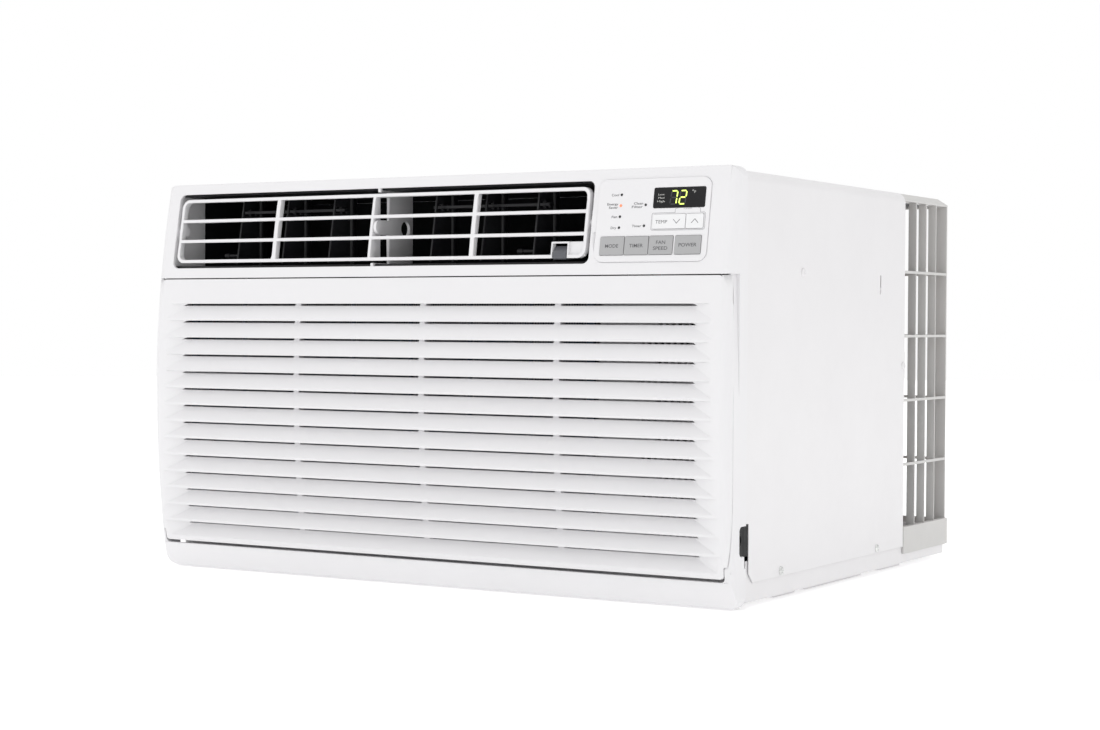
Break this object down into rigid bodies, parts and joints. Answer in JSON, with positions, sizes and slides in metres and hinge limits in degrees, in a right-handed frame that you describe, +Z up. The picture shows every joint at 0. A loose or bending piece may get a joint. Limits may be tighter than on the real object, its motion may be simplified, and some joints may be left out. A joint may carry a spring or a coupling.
{
  "type": "window air conditioner",
  "caption": "Boxy room air conditioner chassis with a bowed white front, slatted inlet grille, tilting discharge louver, key panel and slotted rear corner guards.",
  "frame": {"origin": "centre of the footprint, on the plane that the base pan's feet stand on", "axes": "+X to the viewer's right, -Y out of the front panel into the room, +Z up"},
  "size_m": [0.61, 0.514, 0.367],
  "materials": {
    "cabinet_paint": "satin powder coat",
    "galvanised_steel": "zinc coated sheet",
    "guard_plastic": "moulded, light texture",
    "zinc_steel": "bright zinc",
    "panel_plastic": "fine moulded texture, satin",
    "filter_plastic": "fine mesh",
    "duct_plastic": "satin black",
    "lever_plastic": "satin dark grey",
    "display_plastic": "gloss black",
    "key_grey": "satin grey",
    "key_white": "satin white",
    "circuit_board": "solder mask",
    "motor_metal": "satin",
    "black_rubber": "matte",
    "coil_fins": "thin fins",
    "copper": "drawn copper",
    "fan_plastic": "satin",
    "bronze": "sintered",
    "compressor_paint": "gloss black"
  },
  "bodies": {
    "chassis": {"base_pan": "cabinet_paint", "cabinet_wrapper": "cabinet_paint", "rear_top_cover": "galvanised_steel", "condenser_shroud": "galvanised_steel", "bulkhead": "galvanised_steel", "motor_bracket": "galvanised_steel", "control_box": "galvanised_steel", "evaporator_end_plates": "galvanised_steel", "condenser_end_plates": "galvanised_steel", "side_guard_left": "guard_plastic", "side_guard_right": "guard_plastic", "case_screws": "zinc_steel", "compressor_nuts": "zinc_steel", "front_panel": "panel_plastic", "control_fascia": "panel_plastic", "control_box_cover": "panel_plastic", "discharge_duct": "duct_plastic", "blower_orifice": "duct_plastic", "blower_scroll": "duct_plastic", "display_window": "display_plastic", "indicator_leds": "display_plastic", "control_board": "circuit_board", "run_capacitor": "motor_metal", "motor_shell": "motor_metal", "cord_bushing": "black_rubber", "compressor_grommets": "black_rubber", "evaporator_fins": "coil_fins", "condenser_fins": "coil_fins", "evaporator_tubes": "copper", "condenser_tubes": "copper", "suction_tube": "copper", "discharge_tube": "copper", "capillary_tube": "copper", "motor_stator": "copper", "motor_bearings": "bronze", "compressor": "compressor_paint"},
    "louver": {"louver_frame": "panel_plastic"},
    "grille": {"inlet_grille": "panel_plastic", "air_filter": "filter_plastic"},
    "vane_left_1": {"vane_left_1": "duct_plastic"},
    "vane_left_2": {"vane_left_2": "duct_plastic"},
    "vane_left_3": {"vane_left_3": "duct_plastic"},
    "vane_right_1": {"vane_right_1": "duct_plastic"},
    "vane_right_2": {"vane_right_2": "duct_plastic"},
    "vane_right_3": {"vane_right_3": "duct_plastic"},
    "link_left": {"vane_link_left": "duct_plastic"},
    "link_right": {"vane_link_right": "duct_plastic"},
    "vent_lever": {"vent_lever": "lever_plastic"},
    "vent_door": {"vent_door": "lever_plastic"},
    "fan_rotor": {"motor_shaft": "zinc_steel", "motor_rotor": "motor_metal", "blower_wheel": "fan_plastic", "condenser_fan": "fan_plastic", "shaft_nuts": "zinc_steel"},
    "key_mode": {"button_mode": "key_grey"},
    "key_timer": {"button_timer": "key_grey"},
    "key_fan_speed": {"button_fan_speed": "key_grey"},
    "key_power": {"button_power": "key_grey"},
    "key_temp_down": {"button_temp_down": "key_white"},
    "key_temp_up": {"button_temp_up": "key_white"}
  },
  "joints": [
    {"name": "louver_tilt", "type": "hinge", "parent": "chassis", "child": "louver", "pos_m": [-0.0565, -0.2372, 0.3223], "axis": [1, 0, 0], "range_deg": [-10, 10]},
    {"name": "grille_swing", "type": "hinge", "parent": "chassis", "child": "grille", "pos_m": [0, -0.24153, 0.033], "axis": [1, 0, 0], "range_deg": [0, 45]},
    {"name": "vanes_left_swing", "type": "hinge", "parent": "chassis", "child": "vane_left_1", "pos_m": [-0.22, -0.2, 0.32], "axis": [0, 0, 1], "range_deg": [-30, 30]},
    {"name": "vane_left_2_swing", "type": "hinge", "parent": "chassis", "child": "vane_left_2", "pos_m": [-0.1665, -0.2, 0.32], "axis": [0, 0, 1], "range_deg": [-30, 30]},
    {"name": "vane_left_3_swing", "type": "hinge", "parent": "chassis", "child": "vane_left_3", "pos_m": [-0.113, -0.2, 0.32], "axis": [0, 0, 1], "range_deg": [-30, 30]},
    {"name": "vanes_right_swing", "type": "hinge", "parent": "chassis", "child": "vane_right_3", "pos_m": [0.107, -0.2, 0.32], "axis": [0, 0, 1], "range_deg": [-30, 30]},
    {"name": "vane_right_1_swing", "type": "hinge", "parent": "chassis", "child": "vane_right_1", "pos_m": [0, -0.2, 0.32], "axis": [0, 0, 1], "range_deg": [-30, 30]},
    {"name": "vane_right_2_swing", "type": "hinge", "parent": "chassis", "child": "vane_right_2", "pos_m": [0.0535, -0.2, 0.32], "axis": [0, 0, 1], "range_deg": [-30, 30]},
    {"name": "link_left_slide", "type": "slide", "parent": "chassis", "child": "link_left", "axis": [1, 0, 0], "range_m": [-0.00811, 0.00811]},
    {"name": "link_right_slide", "type": "slide", "parent": "chassis", "child": "link_right", "axis": [1, 0, 0], "range_m": [-0.00811, 0.00811]},
    {"name": "vent_lever_pull", "type": "slide", "parent": "chassis", "child": "vent_lever", "axis": [0, -1, 0], "range_m": [0, 0.01]},
    {"name": "vent_door_swing", "type": "hinge", "parent": "chassis", "child": "vent_door", "pos_m": [0.141, -0.0752, 0.313], "axis": [-1, 0, 0], "range_deg": [0, 43]},
    {"name": "fan_spin", "type": "hinge", "parent": "chassis", "child": "fan_rotor", "pos_m": [-0.057, 0, 0.165], "axis": [0, 1, 0], "continuous": true},
    {"name": "press_mode", "type": "slide", "parent": "chassis", "child": "key_mode", "axis": [0, 0.9855, -0.1696], "range_m": [0, 0.0006], "stiffness_N_per_m": 400},
    {"name": "press_timer", "type": "slide", "parent": "chassis", "child": "key_timer", "axis": [0, 0.9855, -0.1696], "range_m": [0, 0.0006], "stiffness_N_per_m": 400},
    {"name": "press_fan_speed", "type": "slide", "parent": "chassis", "child": "key_fan_speed", "axis": [0, 0.9855, -0.1696], "range_m": [0, 0.0006], "stiffness_N_per_m": 400},
    {"name": "press_power", "type": "slide", "parent": "chassis", "child": "key_power", "axis": [0, 0.9855, -0.1696], "range_m": [0, 0.0006], "stiffness_N_per_m": 400},
    {"name": "press_temp_down", "type": "slide", "parent": "chassis", "child": "key_temp_down", "axis": [0, 0.9855, -0.1696], "range_m": [0, 0.0006], "stiffness_N_per_m": 400},
    {"name": "press_temp_up", "type": "slide", "parent": "chassis", "child": "key_temp_up", "axis": [0, 0.9855, -0.1696], "range_m": [0, 0.0006], "stiffness_N_per_m": 400}
  ],
  "couplings": [
    {"joint": "vane_left_2_swing", "follows": "vanes_left_swing", "ratio": 1},
    {"joint": "vane_left_3_swing", "follows": "vanes_left_swing", "ratio": 1},
    {"joint": "link_left_slide", "follows": "vanes_left_swing", "m_per_rad": 0.0153},
    {"joint": "vane_right_1_swing", "follows": "vanes_right_swing", "ratio": 1},
    {"joint": "vane_right_2_swing", "follows": "vanes_right_swing", "ratio": 1},
    {"joint": "link_right_slide", "follows": "vanes_right_swing", "m_per_rad": 0.0153},
    {"joint": "vent_door_swing", "follows": "vent_lever_pull", "rad_per_m": 74.074}
  ]
}
